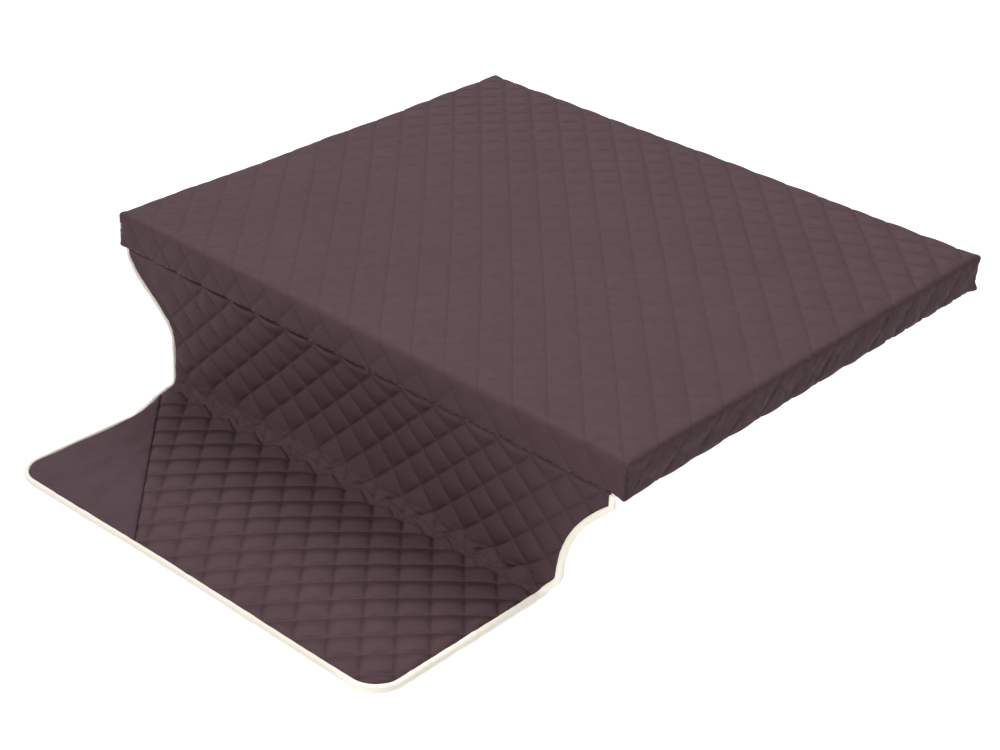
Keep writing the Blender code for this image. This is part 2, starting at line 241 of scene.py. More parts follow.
def subdivide(obj):
    """Round a cloth off, and give back its new mesh."""
    modifier = obj.modifiers.new("round", "SUBSURF")
    modifier.boundary_smooth = "PRESERVE_CORNERS"
    graph = bpy.context.evaluated_depsgraph_get()
    mesh = bpy.data.meshes.new_from_object(obj.evaluated_get(graph))
    obj.modifiers.clear()
    obj.data = mesh
    return mesh


def tube_faces(base, rings, around):
    """Faces of a closed tube whose points begin at base and go ring by ring."""
    faces = []
    last = base + (rings - 1) * around
    for i in range(base, last, around):
        for j in range(around):
            k = (j + 1) % around
            faces.append((i + j, i + k, i + around + k, i + around + j))
    faces.append(tuple(range(base, base + around))[::-1])
    faces.append(tuple(range(last, last + around)))
    return faces


def spaced(start, end, pitch):
    """Points from start up to end, which is left out."""
    start, end = np.array(start, float), np.array(end, float)
    count = max(int(round(np.linalg.norm(end - start) / pitch)), 1)
    return [tuple(start + (end - start) * i / count) for i in range(count)]


def turned(part, turn):
    """Points turned by a number of quarters."""
    c, s = math.cos(turn * QUARTER), math.sin(turn * QUARTER)
    return [(x * c - y * s, x * s + y * c) for x, y in part]


def rounded_ring(half_x, half_y, corner, pitch, bends):
    """Points round a rectangle with rounded corners, and the way out at each."""
    ring, out = [], []
    for turn in range(4):
        a, b = (half_x, half_y) if turn % 2 == 0 else (half_y, half_x)
        part = spaced((-a + corner, -b), (a - corner, -b), pitch)
        away = [(0.0, -1.0)] * len(part)
        for angle in np.linspace(-QUARTER, 0, bends)[:-1]:
            c, s = math.cos(angle), math.sin(angle)
            part.append((a - corner + corner * c, -b + corner + corner * s))
            away.append((c, s))
        ring += turned(part, turn)
        out += turned(away, turn)
    return ring, out


def sweep(name, points, across, up, sections, mat):
    """A closed tube along the points, with one section of (across, up) pairs at each."""
    verts = []
    for point, aside, lift, section in zip(points, across, up, sections):
        verts += [point + aside * a + lift * b for a, b in section]
    return face_outward(make_object(name, verts, tube_faces(0, len(points), len(sections[0])), mat))


def level_sweep(name, points, across, section, mat):
    """A tube with the same section all along a level line."""
    up = np.tile([0.0, 0.0, 1.0], (len(points), 1))
    return sweep(name, points, across, up, [section] * len(points), mat)


def oval(wide, tall):
    """A ten-sided oval section with those half widths."""
    return [(wide * math.cos(t), tall * math.sin(t)) for t in np.arange(0, 2 * math.pi, math.pi / 5)]


def rounded_slab(name, half_x, half_y, low, high, corner, edge, pitch, mat):
    """A slab with rounded upright corners and softened edges, as a grid of quads."""
    ring = np.array(rounded_ring(half_x, half_y, corner, pitch, 6)[0])
    levels = [(edge * (1 - math.sin(t)), edge * (1 - math.cos(t))) for t in np.linspace(0, QUARTER, 4)]
    rows = [(inset, low + rise) for inset, rise in levels]
    rows += [(inset, high - rise) for inset, rise in levels[::-1]]
    verts = []
    for inset, z in rows:
        scale = np.array([1 - inset / half_x, 1 - inset / half_y])
        verts += [(x, y, z) for x, y in ring * scale]
    obj = make_object(name, verts, tube_faces(0, len(rows), len(ring))[:-2], mat)
    with edited(obj) as bm:
        for z in (low, high):
            edges = [e for e in bm.edges if e.is_boundary and abs(e.verts[0].co.z - z) < 1e-6]
            bmesh.ops.triangle_fill(bm, use_beauty=True, edges=edges)
        bmesh.ops.recalc_face_normals(bm, faces=bm.faces)
    for polygon in obj.data.polygons:
        polygon.use_smooth = len(polygon.vertices) == 4
    return obj


# ---------------- quilting lines and flat cloth


def pad_lines(u, v):
    """Two families of stitch lines over the pad. A line is where a value is whole."""
    first = 15.44 * u + 14.15 * v + 0.30 - 0.32 * u * u - 0.44 * u * v + 0.44 * v * v
    second = 15.76 * u - 13.12 * v + 0.045 - 4.07 * u * u - 1.41 * u * v - 3.87 * v * v
    second = second + 1.31 * u**3 - 5.68 * v**3 - 2.09 * u * u * v - 5.31 * u * v * v
    return first, second


def flap_lines(u, v):
    """The same two families over the flap, with v the way down it from the seam."""
    w = v - 0.2
    hung = 1.0 - smooth(v, 0.17, 0.23)
    first = 16.28 * u - 0.89 * u * u - (14.73 + 2.6 * hung) * w + 0.222 - 0.27 * hung
    bow = 3.6 * u * w * (1.0 - hung) - 8.06 * w * w * (1.0 - hung)
    second = 17.23 * u - 1.1 * u * hung + (18.49 - 2.4 * hung) * w + 0.339 + bow
    return first, second


def panel_lines(u, v):
    """A plain square grid, for cloth without stitch lines."""
    return u / 0.02, v / 0.02


def lining_lines(u, v):
    """A grid that is finer down the flap, so that it follows the crease."""
    return u / 0.012, v / 0.003


def lines_at(lines, u, v):
    """Both lines' values at points of the flat cloth, and how they change along u and v."""
    step = 1e-5
    a, b = lines(u, v)
    au, bu = lines(u + step, v)
    av, bv = lines(u, v + step)
    return a, b, (au - a) / step, (bu - b) / step, (av - a) / step, (bv - b) / step


def grid_on_lines(lines, low, high, cells):
    """Points of a grid that follows the stitch lines, cells to a diamond, over a box of the flat cloth."""
    edge = np.linspace(0, 1, 60)
    gu, gv = np.meshgrid(low[0] + (high[0] - low[0]) * edge, low[1] + (high[1] - low[1]) * edge)
    both = lines(gu, gv)
    ranges = [np.arange(math.floor(f.min()), math.ceil(f.max()) + 1e-6, 1.0 / cells) for f in both]
    want_a, want_b = (g.ravel() for g in np.meshgrid(*ranges))
    tree = KDTree(gu.size)
    for index, (a, b) in enumerate(zip(both[0].ravel(), both[1].ravel())):
        tree.insert((a, b, 0.0), index)
    tree.balance()
    coarse = np.array([tree.find((round(a), round(b), 0.0))[1:] for a, b in zip(want_a, want_b)])
    near = coarse[:, 1] < 1.5
    want_a, want_b = want_a[near], want_b[near]
    start = coarse[near, 0].astype(int)
    u, v = gu.ravel()[start].copy(), gv.ravel()[start].copy()
    for _ in range(9):
        a, b, au, bu, av, bv = lines_at(lines, u, v)
        det = au * bv - av * bu
        da, db = want_a - a, want_b - b
        u += np.clip((da * bv - db * av) / det, -0.05, 0.05)
        v += np.clip((db * au - da * bu) / det, -0.05, 0.05)
    a, b = lines(u, v)
    kept = (abs(a - want_a) < 1e-3) & (abs(b - want_b) < 1e-3)
    kept &= (u > low[0]) & (u < high[0]) & (v > low[1]) & (v < high[1])
    return u[kept], v[kept]


def inside_outline(u, v, outline, margin):
    """Which points lie inside a closed outline, and more than margin away from it."""
    within = np.zeros(len(u), bool)
    clear = np.ones(len(u), bool)
    ends = np.roll(outline, -1, axis=0)
    for (x0, y0), (x1, y1) in zip(outline, ends):
        if y0 != y1:
            crosses = (y0 > v) != (y1 > v)
            within ^= crosses & (u < (x1 - x0) * (v - y0) / (y1 - y0) + x0)
        lo_x, hi_x = min(x0, x1) - margin, max(x0, x1) + margin
        lo_y, hi_y = min(y0, y1) - margin, max(y0, y1) + margin
        some = np.nonzero((u > lo_x) & (u < hi_x) & (v > lo_y) & (v < hi_y))[0]
        if len(some):
            dx, dy = x1 - x0, y1 - y0
            length = dx * dx + dy * dy
            t = np.clip(((u[some] - x0) * dx + (v[some] - y0) * dy) / max(length, 1e-12), 0, 1)
            gap = np.hypot(u[some] - x0 - t * dx, v[some] - y0 - t * dy)
            clear[some[gap < margin]] = False
    return within & clear


def flat_mesh(outline, u, v):
    """Flat cloth with that outline and those inner points: points and mostly four-sided faces."""
    points = [Vector(p) for p in outline] + [Vector(p) for p in zip(u, v)]
    count = len(outline)
    edges = [(i, (i + 1) % count) for i in range(count)]
    verts, _, faces, origins, _, _ = delaunay_2d_cdt(points, edges, [], 1, 1e-7)
    bm = bmesh.new()
    border = bm.verts.layers.int.new("border")
    made = [bm.verts.new((p.x, p.y, 0.0)) for p in verts]
    for vert, origin in zip(made, origins):
        first = min(origin) if origin else count
        vert[border] = first + 1 if first < count else 0
    for face in faces:
        bm.faces.new([made[i] for i in face])
    bmesh.ops.join_triangles(
        bm, faces=bm.faces, angle_face_threshold=3.1, angle_shape_threshold=0.9
    )
    bmesh.ops.recalc_face_normals(bm, faces=bm.faces)
    bm.faces.ensure_lookup_table()
    if bm.faces[0].normal.z < 0:
        bmesh.ops.reverse_faces(bm, faces=bm.faces)
    bmesh.ops.delete(bm, geom=[x for x in bm.verts if not x.link_faces], context="VERTS")
    bm.verts.index_update()
    flat = np.array([(x.co.x, x.co.y) for x in bm.verts])
    rim = np.array([x[border] for x in bm.verts])
    quads = [tuple(x.index for x in f.verts) for f in bm.faces]
    bm.free()
    return flat, rim, quads


def lay_out(outline, lines, cells):
    """Flat cloth cut to an outline, with points along its stitch lines."""
    outline = np.array(outline)
    u, v = grid_on_lines(lines, outline.min(0), outline.max(0), cells)
    kept = inside_outline(u, v, outline, EDGE_CLEAR)
    return flat_mesh(outline, u[kept], v[kept])


def write_flat(mesh, flat, lines, name, values):
    """Keep each point's place on the flat cloth and between the stitch lines, and one value more."""
    u, v = flat.T
    first, second = lines(u, v)
    for key, value in (("line_a", first), ("line_b", second), ("flat_u", u), ("flat_v", v), (name, values)):
        write(mesh, key, value)


# ---------------- quilting


def puff_height(first, second):
    """How high the wadding stands between stitch lines, from 0 on a line to 1 amid a diamond."""
    return abs(np.sin(math.pi * first) * np.sin(math.pi * second)) ** 0.55


def inflate(obj, pinned, slack, pressure, cap):
    """Blow the cloth up between its pinned stitch lines by cloth simulation, by no more than cap."""
    scene = bpy.context.scene
    start = coordinates(obj.data)
    group = obj.vertex_groups.new(name="pinned")
    group.add([int(i) for i in np.nonzero(pinned)[0]], 1.0, "REPLACE")
    modifier = obj.modifiers.new("cloth", "CLOTH")
    setting = modifier.settings
    for key, value in CLOTH.items():
        setattr(setting, key, value)
    setting.uniform_pressure_force = pressure
    setting.vertex_group_mass = "pinned"
    setting.shrink_min = -slack
    setting.effector_weights.gravity = 0.0
    modifier.collision_settings.use_collision = False
    modifier.point_cache.frame_start = 1
    modifier.point_cache.frame_end = CLOTH_FRAMES
    for number in range(1, CLOTH_FRAMES + 1):
        scene.frame_set(number)
    graph = bpy.context.evaluated_depsgraph_get()
    move = coordinates(obj.evaluated_get(graph).data) - start
    obj.modifiers.clear()
    obj.vertex_groups.clear()
    scene.frame_set(1)
    length = np.linalg.norm(move, axis=1)
    move *= np.minimum(1.0, cap / np.maximum(length, 1e-9))[:, None]
    set_coordinates(obj.data, start + move)


def on_line(values, tolerance=SEWN):
    return abs(values - np.round(values)) < tolerance


def quilt(obj, height, fullness, slack, pressure, cap, held):
    """Give a cover its padded diamonds: shaped first, then filled by cloth simulation, then rounded off."""
    mesh = obj.data
    first, second = read(mesh, "line_a", "line_b")
    pinned = on_line(first) | on_line(second) | held
    push = puff_height(first, second) * height * fullness * ~held
    set_coordinates(mesh, coordinates(mesh) + normals(mesh) * push[:, None])
    inflate(obj, pinned, slack, pressure, cap)
    crease_lines(mesh)
    return subdivide(obj)


def crease_lines(mesh):
    """Keep stitch lines crisp when the cloth is rounded off."""
    ends = np.zeros(len(mesh.edges) * 2, int)
    mesh.edges.foreach_get("vertices", ends)
    p, q = ends.reshape(-1, 2).T
    sharp = np.zeros(len(p), bool)
    for values in read(mesh, "line_a", "line_b"):
        near, line = on_line(values), np.round(values)
        sharp |= near[p] & near[q] & (line[p] == line[q])
    write(mesh, "crease_edge", np.where(sharp, 0.75, 0.0), "EDGE")


def sink_lines(mesh, depth):
    """Draw the cloth in along its stitch lines."""
    first, second = read(mesh, "line_a", "line_b")
    sewn = on_line(first, 0.012) | on_line(second, 0.012)
    set_coordinates(mesh, coordinates(mesh) - normals(mesh) * (sewn * depth)[:, None])


def tuck(row, fall):
    """Height over rows of cells: a slow rise to each near stitch line and a quick fall behind it."""
    share = row - np.floor(row)
    return 1 - smooth(share, 0.0, fall) + share**1.5 * smooth(share, 0.4 * fall, 1.7 * fall)


# ---------------- pad cover

TURN = BEND * QUARTER
WALL = PAD_TOP - BEND - FOOT_BEND - FOOT_Z
FOOT = FOOT_BEND * QUARTER
SKIRT = TURN + WALL + FOOT + HEM
FLAT_X = PAD_HALF_X - BEND
FLAT_Y = PAD_HALF_Y - BEND


def skirt_profile(d):
    """Way out from the flat top and height, for cloth d past the start of the bend."""
    t = np.clip(d / BEND, 0, QUARTER)
    out = BEND * np.sin(t)
    z = PAD_TOP - BEND * (1 - np.cos(t)) - np.clip(d - TURN, 0, WALL)
    t = np.clip((d - TURN - WALL) / FOOT_BEND, 0, QUARTER)
    out = out - FOOT_BEND * (1 - np.cos(t)) - np.clip(d - TURN - WALL - FOOT, 0, HEM)
    return out, z - FOOT_BEND * np.sin(t)


def ease_out(d):
    """Extra cloth on a skirt's end, so that it goes halfway round the corner."""
    return skirt_profile(d)[0] * CORNER_EASE


def cover_place(u, v):
    """Where the flat cover's points lie on the pad."""
    du, dv = abs(u) - FLAT_X, abs(v) - FLAT_Y
    along_y = dv > du
    out, z = skirt_profile(np.maximum(np.where(along_y, dv, du), 0.0))
    side = np.where(along_y, du, dv)
    angle = np.clip(np.maximum(side, 0) / np.maximum(out, 1e-6) / CORNER_EASE, 0, 1) * math.pi / 4
    out = out * (1 + CORNER_FULL * (1 / np.cos(angle) - 1))
    turn = np.where(side > 0, out * np.sin(angle), np.minimum(side, 0))
    push = np.where(side > 0, out * np.cos(angle), out)
    x = np.sign(u) * (FLAT_X + np.where(along_y, turn, push))
    y = np.sign(v) * (FLAT_Y + np.where(along_y, push, turn))
    flat_top = (du <= 0) & (dv <= 0)
    return np.stack([np.where(flat_top, u, x), np.where(flat_top, v, y), z], 1)


def zip_side(end, bottom, cut):
    """The rear skirt's lower edge, cut back where the zip is."""
    half = [(-end, bottom), (-ZIP_HALF - 0.004, bottom), (-ZIP_HALF, bottom + 0.006), (-ZIP_HALF, cut)]
    side = half + [(-x, y) for x, y in half[::-1]]
    return [p for s, e in zip(side, side[1:]) for p in spaced(s, e, OUTLINE_PITCH)]


def cover_outline():
    """The cover cut flat: the top, four skirts, and a wedge left out at each corner."""
    steps = np.linspace(SKIRT, 0, 15)
    notch = TURN + WALL + FOOT_BEND + FOOT_Z - ZIP_TOP
    points = []
    for turn in range(4):
        a, b = (FLAT_X, FLAT_Y) if turn % 2 == 0 else (FLAT_Y, FLAT_X)
        end, bottom = a + ease_out(SKIRT), -b - SKIRT
        if turn == 2:
            part = zip_side(end, bottom, -b - notch)
        else:
            part = spaced((-end, bottom), (end, bottom), OUTLINE_PITCH)
        part += [(a + ease_out(d), -b - d) for d in steps]
        part += [(a + d, -b - ease_out(d)) for d in steps[::-1][1:-1]]
        points += turned(part, turn)
    return np.array(points)


def press(u, v):
    """How full the pad's quilting is: flat at the front and in the middle, full at the back and right."""
    back = smooth(v, -0.15, 0.42)
    right = smooth(u, 0.05, 0.50)
    left = smooth(-u, 0.20, 0.50)
    amount = 0.44 + 0.85 * back + 0.40 * right * (0.6 + 0.4 * back) + 0.32 * left
    beyond = np.maximum(abs(u) - FLAT_X, abs(v) - FLAT_Y)
    rim = 1 - 0.72 * np.exp(-(((beyond - 0.004) / 0.013) ** 2))
    return np.where(beyond > 0.008, 0.75, amount) * rim


def build_cover(mat):
    flat, rim, faces = lay_out(cover_outline(), pad_lines, PAD_CELLS)
    obj = make_object("quilted_pad_cover", cover_place(*flat.T), faces, mat)
    write_flat(obj.data, flat, pad_lines, "rim", rim > 0)
    with edited(obj) as bm:
        rims = [x for x in bm.verts if x.is_boundary]
        bmesh.ops.remove_doubles(bm, verts=rims, dist=WELD)
    return obj


def close_holes(obj):
    """Close a cover's open underside with flat faces."""
    with edited(obj) as bm:
        edges = [e for e in bm.edges if e.is_boundary]
        bmesh.ops.triangle_fill(bm, use_beauty=True, use_dissolve=False, edges=edges)
        bmesh.ops.recalc_face_normals(bm, faces=bm.faces)


def from_corners(x, y, height):
    """Distance to the pad's nearest corner, for points at a height from it."""
    return np.sqrt((abs(x) - PAD_HALF_X) ** 2 + (abs(y) - PAD_HALF_Y) ** 2 + height**2)


def push_out(points, x, y, amount, rise):
    """Move points away from the pad's middle, and up."""
    points[:, 0] += np.sign(x) * amount
    points[:, 1] += np.sign(y) * amount
    points[:, 2] += rise


def shape_cover(cover):
    """Slight unevenness of a sewn cover: waves of its edges, a faint crown and full corners."""
    mesh = cover.data
    points, out = coordinates(mesh), normals(mesh)
    x, y, z = points.T
    u, v, row, rim = read(mesh, "flat_u", "flat_v", "line_b", "rim")
    wave = ripple(x, y, 0.21, 11) * 0.0007 + ripple(x, y, 0.07, 12) * 0.0003
    wave *= smooth(z, 0.006, 0.020)
    crown = 0.0012 * (1 - (x / PAD_HALF_X) ** 2) * (1 - (y / PAD_HALF_Y) ** 2) * smooth(z, 0.045, 0.055)
    points += out * wave[:, None]
    points[:, 2] += crown
    lifted = 0.0024 * smooth(y, -0.20, 0.44) + 0.0018 * smooth(y, 0.20, 0.44) * (1 - smooth(x, 0.10, 0.45))
    points[:, 2] += lifted * smooth(z, 0.030, 0.055)
    side = smooth(np.maximum(abs(u) - FLAT_X, abs(v) - FLAT_Y), 0.002, 0.012) * smooth(z, 0.004, 0.014)
    creases = 0.0010 * ripple(x + y + 0.5 * z, 0.6 * z, 0.026, 13)
    creases = creases + 0.0007 * ripple(x + y - 0.4 * z, 0.5 * z, 0.014, 14)
    points += out * (creases * side * (0.25 + 0.75 * smooth(u, FLAT_X, FLAT_X + 0.008)))[:, None]
    ear = np.exp(-((from_corners(x, y, z - PAD_TOP) / 0.013) ** 2))
    rise = (0.0005 + 0.0008 * smooth(y, -0.25, 0.30)) * tuck(row, 0.13)
    inside = (1 - smooth(abs(x), 0.47, 0.505)) * (1 - smooth(abs(y), 0.40, 0.435))
    points[:, 2] += rise * inside * smooth(z, 0.045, 0.055)
    push_out(points, x, y, 0.0024 * ear, 0.0014 * ear)
    toe = np.exp(-((from_corners(x, y, z) / 0.012) ** 2))
    push_out(points, x, y, (0.0016 + 0.0026 * ((x > 0) & (y > 0))) * toe, -0.0026 * toe)
    seam = (rim > 0.9) & (abs(x) > PAD_HALF_X - 0.03) & (abs(y) > PAD_HALF_Y - 0.03)
    seam &= (z > 0.004) & (z < PAD_TOP - 0.004)
    push_out(points, x, y, -0.0011 * seam, 0.0)
    set_coordinates(mesh, points)


def make_pad(mats):
    cover = build_cover(mats["quilt"])
    u, v, rim = read(cover.data, "flat_u", "flat_v", "rim")
    mesh = quilt(cover, PAD_PUFF, press(u, v), 0.002, 4.0, 0.002, rim > 0.5)
    u, v, rim = read(mesh, "flat_u", "flat_v", "rim")
    sink_lines(mesh, (0.0004 + 0.0006 * press(u, v)) * (rim < 0.1))
    shape_cover(cover)
    close_holes(cover)
    declare(cover, "pad", "quilted_cloth", "cover_face", "cover_wadding", "cover_backing")
    return cover


# ---------------- flap


def hollow_table():
    """Curve of the flap, seen from the side, for a hollow of 0 to 1, by the way down the cloth."""
    step = CURVE_STEP
    count = int(FLAP_LIMIT / step)
    way = np.arange(-60, count + 60) * step
    window = np.arange(-50, 51)
    weights = np.exp(-0.5 * (window * step / BEND_SOFT) ** 2)
    weights /= weights.sum()
    ys, zs = [], []
    for share in np.linspace(0, 1, 9):
        s = np.linspace(0, 1, 400)
        z = -FLAP_DROP * s
        y = FACE_Y + HOLLOW * share * np.sin(math.pi * s**1.1)
        length = np.concatenate([[0], np.cumsum(np.hypot(np.diff(y), np.diff(z)))])
        slope = (y[1] - y[0]) / length[1]
        yy = np.where(way <= length[-1], np.interp(way, length, y), FACE_Y - (way - length[-1]))
        zz = np.where(way <= length[-1], np.interp(way, length, z), -FLAP_DROP)
        yy = np.where(way < 0, y[0] + slope * way, yy)
        zz = np.where(way < 0, -way, zz)
        yy = np.convolve(yy, weights, "same")[60 : 60 + count]
        zz = np.convolve(zz, weights, "same")[60 : 60 + count]
        settle_in = np.clip(1 - np.arange(count) * step / 0.03, 0, 1)
        ys.append(yy - (yy[0] - FACE_Y) * settle_in)
        zs.append(zz - zz[0] * settle_in)
    return np.array(ys), np.array(zs)


CURVE_Y, CURVE_Z = hollow_table()


def flap_curve(x, v):
    """Where the flap's face is at x, a way v down it, as (y, z)."""
    share = np.where(abs(x) < HOLLOW_SPAN, np.cos(math.pi * x / (2 * HOLLOW_SPAN)) ** 2, 0) * 8
    i = np.clip(share.astype(int), 0, 7)
    f = share - i
    way = np.clip(v, 0, FLAP_LIMIT - 0.002) / CURVE_STEP
    j = way.astype(int)
    g = way - j

    def look(table):
        near = table[i, j] * (1 - g) + table[i, j + 1] * g
        far = table[i + 1, j] * (1 - g) + table[i + 1, j + 1] * g
        return near * (1 - f) + far * f

    return look(CURVE_Y), look(CURVE_Z)


def flap_place(u, v, depth):
    """Where a flat point of the flap lies, depth behind the face."""
    y, z = flap_curve(u, v)
    y0, z0 = flap_curve(u, np.maximum(v - CURVE_STEP, 0))
    y1, z1 = flap_curve(u, v + CURVE_STEP)
    ty, tz = y1 - y0, z1 - z0
    length = np.hypot(ty, tz)
    depth = depth * (0.15 + 0.85 * smooth(v, 0.002, 0.028))
    return np.stack([u, y - tz / length * depth, z + ty / length * depth], 1)


def way_at_y(x, y):
    """Way down the flap's cloth at a place y of the outer section."""
    way = np.arange(0.15, FLAP_LIMIT - 0.003, 0.0005)
    ys, _ = flap_curve(np.full_like(way, x), way)
    return float(np.interp(-y, -ys, way))


def ease(start, end, share):
    """From start to end, slow at both ends."""
    share = np.clip(share, 0, 1)
    return end + (start - end) * (1 + np.cos(math.pi * share)) / 2


def hanging_half(side, drop):
    """Half width of the hanging section, drop below the seam: full at first, then drawn in."""
    if side < 0:
        return ease(SEAM_HALF + 0.007, 0.403, (drop - 0.008) / 0.122)
    share = np.clip((drop - 0.022) / 0.158, 0, 1) ** 0.52
    return ease(SEAM_HALF, 0.418, share) - 0.023 * smooth(drop, 0.176, 0.214)


def front_edge(x):
    """The front edge, which stands a little further out on the left."""
    return FRONT_Y - FRONT_LEAN * float(smooth(-x, 0.0, 0.33))


def flap_side(side, pitch=OUTLINE_PITCH):
    """One side edge of the flap laid flat, from the seam to the middle of the front edge."""
    straight = OUTER_LEFT if side < 0 else OUTER_RIGHT
    flare = FLARE_LEFT if side < 0 else FLARE_RIGHT
    fold_half = float(hanging_half(side, FLAP_DROP))
    points = []
    fold = way_at_y(0.43 * side, FACE_Y - 0.02)
    for v in np.arange(0.0, fold, pitch):
        _, z = flap_curve(np.array([0.403 * side]), np.array([v]))
        points.append((side * float(hanging_half(side, -z[0])), v))
    front = front_edge(side * (straight - CORNER))
    for y in np.arange(FACE_Y - 0.02, front + CORNER, -pitch):
        half = ease(fold_half, straight, (FACE_Y - y) / flare)
        points.append((side * half, way_at_y(side * half, y)))
    center = (side * (straight - CORNER), front + CORNER)
    for angle in np.linspace(0, QUARTER, 14):
        x = center[0] + side * CORNER * math.cos(angle)
        points.append((x, way_at_y(x, center[1] - CORNER * math.sin(angle))))
    last = abs(points[-1][0])
    for x in np.arange(last - pitch, 0.0, -pitch):
        points.append((side * x, way_at_y(side * x, front_edge(side * x))))
    return points


def flap_outline():
    """The whole flap cut flat."""
    left, right = flap_side(-1), flap_side(1)
    top = [(x, 0.0) for x in np.arange(SEAM_HALF - 0.005, -SEAM_HALF + 0.002, -0.005)]
    return left + right[::-1] + top


def clip(outline, start, end, side, pitch=OUTLINE_PITCH):
    """The part of an outline on one side of a straight line, with points along the cut."""
    (x0, y0), (x1, y1) = start, end
    away = [side * ((x1 - x0) * (y - y0) - (y1 - y0) * (x - x0)) for x, y in outline]
    points, cuts = [], []
    for i, (p, near) in enumerate(zip(outline, away)):
        following, next_near = outline[(i + 1) % len(outline)], away[(i + 1) % len(outline)]
        if near > 0:
            points.append(tuple(p))
        if (near > 0) != (next_near > 0):
            share = near / (near - next_near)
            cut = (p[0] + (following[0] - p[0]) * share, p[1] + (following[1] - p[1]) * share)
            cuts.append(len(points))
            points.append(cut)
    first, second = cuts
    if second == first + 1:
        run = spaced(points[first], points[second], pitch)[1:]
        return points[: first + 1] + run + points[second:]
    return points + spaced(points[second], points[first], pitch)[1:]


def panel_seam():
    """Ends of the corner panel's seam on the flat flap."""
    return [(x, way_at_y(x, y)) for x, y in (PANEL_START, PANEL_END)]


def build_flap_sheet(name, outline, lines, cells, layer, mat):
    """A closed body of cloth from a flat outline, and which of its points hold still."""
    flat, rim, faces = lay_out(outline, lines, cells)
    count = len(flat)
    points = np.concatenate([flap_place(*flat.T, depth) for depth in layer])
    border = [int(i) for i in np.nonzero(rim)[0][np.argsort(rim[rim > 0])]]
    walls = [(b, a, a + count, b + count) for a, b in zip(border, border[1:] + border[:1])]
    behind = [tuple(i + count for i in f[::-1]) for f in faces]
    obj = face_outward(make_object(name, points, faces + behind + walls, mat))
    write_flat(obj.data, np.concatenate([flat, flat]), lines, "face", np.repeat([1.0, 0.0], count))
    still = np.ones(2 * count, bool)
    still[:count] = rim > 0
    return obj, still


def face_of(mesh, depth):
    """The flap's points, the way its face looks at each, and how high each stands above depth."""
    u, v = read(mesh, "flat_u", "flat_v")
    away = unit(flap_place(u, v, -0.001) - flap_place(u, v, 0.0))
    points = coordinates(mesh)
    return points, away, ((points - flap_place(u, v, depth)) * away).sum(1)


def ruffle(obj):
    """The face bunches where the flap bends: a chain of small rolls, scalloped between the stitch lines."""
    mesh = obj.data
    u, v, first, second, face = read(mesh, "flat_u", "flat_v", "line_a", "line_b", "face")
    middle = (first + second) / 2
    lobe = abs(np.sin(math.pi * middle))
    w = v - ripple(u, v * 0, 0.19, 21) * 0.003
    uneven = 0.80 + 0.30 * ripple(u, v * 0, 0.11, 23)
    crest = CREST_WAY + CREST_LOBE * lobe
    height = (0.0020 + 0.0046 * lobe) * uneven
    roll = height * smooth(w, crest - 0.028, crest - 0.006) * (1 - smooth(w, crest, crest + 0.0042))
    low = -0.0032 * np.exp(-(((w - crest - 0.0060) / 0.0028) ** 2))
    band = smooth(w, 0.184, 0.196) * (1 - smooth(w, 0.226, 0.246))
    folds = 0.0012 * ripple(u * 0.55, w * 1.3 - 0.006 * lobe, 0.0135, 22) * band
    fan = np.sin(2 * math.pi * (middle * 4.0 + (w - 0.21) * 16.0)) * (1 - lobe) ** 0.5
    folds += 0.0009 * fan * smooth(w, 0.186, 0.200) * (1 - smooth(w, 0.232, 0.256))
    total = (roll + low + folds) * smooth(face, 0.4, 1.0)
    points, away, above = face_of(mesh, 0.0)
    edge = 1 - smooth(abs(u), 0.385, 0.402)
    moved = np.maximum(total * edge, np.minimum(-DEEPEST - above, 0.0))
    set_coordinates(mesh, points + away * moved[:, None])


def lean_cells(obj):
    """Where the flap lies flat its quilting slides forward and stands up a little along its rows."""
    mesh = obj.data
    u, v, row, face = read(mesh, "flat_u", "flat_v", "line_b", "face")
    points, away, above = face_of(mesh, QUILT_LAYER[0])
    lift = ROW_STAND * tuck(row, 0.20) - ROW_FLATTEN * above
    lift *= smooth(v, 0.226, 0.262) * smooth(face, 0.4, 1.0)
    edge = 1 - smooth(abs(u), 0.362, 0.385)
    set_coordinates(mesh, points + away * (lift * edge)[:, None])


def crumple_panel(obj):
    """The plain corner panel lies in soft, shallow waves, drawn in along its seam."""
    mesh = obj.data
    u, v, face = read(mesh, "flat_u", "flat_v", "face")
    points, out, _ = face_of(mesh, 0.0)
    (x0, y0), (x1, y1) = panel_seam()
    away = abs((x1 - x0) * (v - y0) - (y1 - y0) * (u - x0)) / math.hypot(x1 - x0, y1 - y0)
    soft = 0.0022 * ripple(u * 1.6, v * 0.8, 0.085, 31) + 0.0007 * ripple(u, v, 0.035, 32)
    soft += 0.0012 * ripple(u, v, 0.020, 33) * np.exp(-away / 0.02)
    lift = soft * smooth(face, 0.4, 1.0) * smooth(away, 0.0, 0.012)
    set_coordinates(mesh, points + out * lift[:, None])


def flap_fullness(u, v):
    """The quilting is plain in the upper left corner, fuller on the outer section."""
    plain = (1 - smooth(u + 0.9 * v, -0.40, -0.29)) * (1 - smooth(v, 0.17, 0.21))
    outer = smooth(v, 0.17, 0.24)
    return (0.70 + 0.45 * outer) * (1 - 0.85 * plain)


def binding_section(height, bulge):
    """Rolled edge: a rounded D, as (outward, up) pairs."""
    section = [(-0.0015, -height / 2 + 0.0012), (-0.0015, height / 2 - 0.0012)]
    for angle in np.linspace(QUARTER, -QUARTER, 12):
        section.append((bulge * math.cos(angle) ** 0.8, height / 2 * math.sin(angle)))
    return section


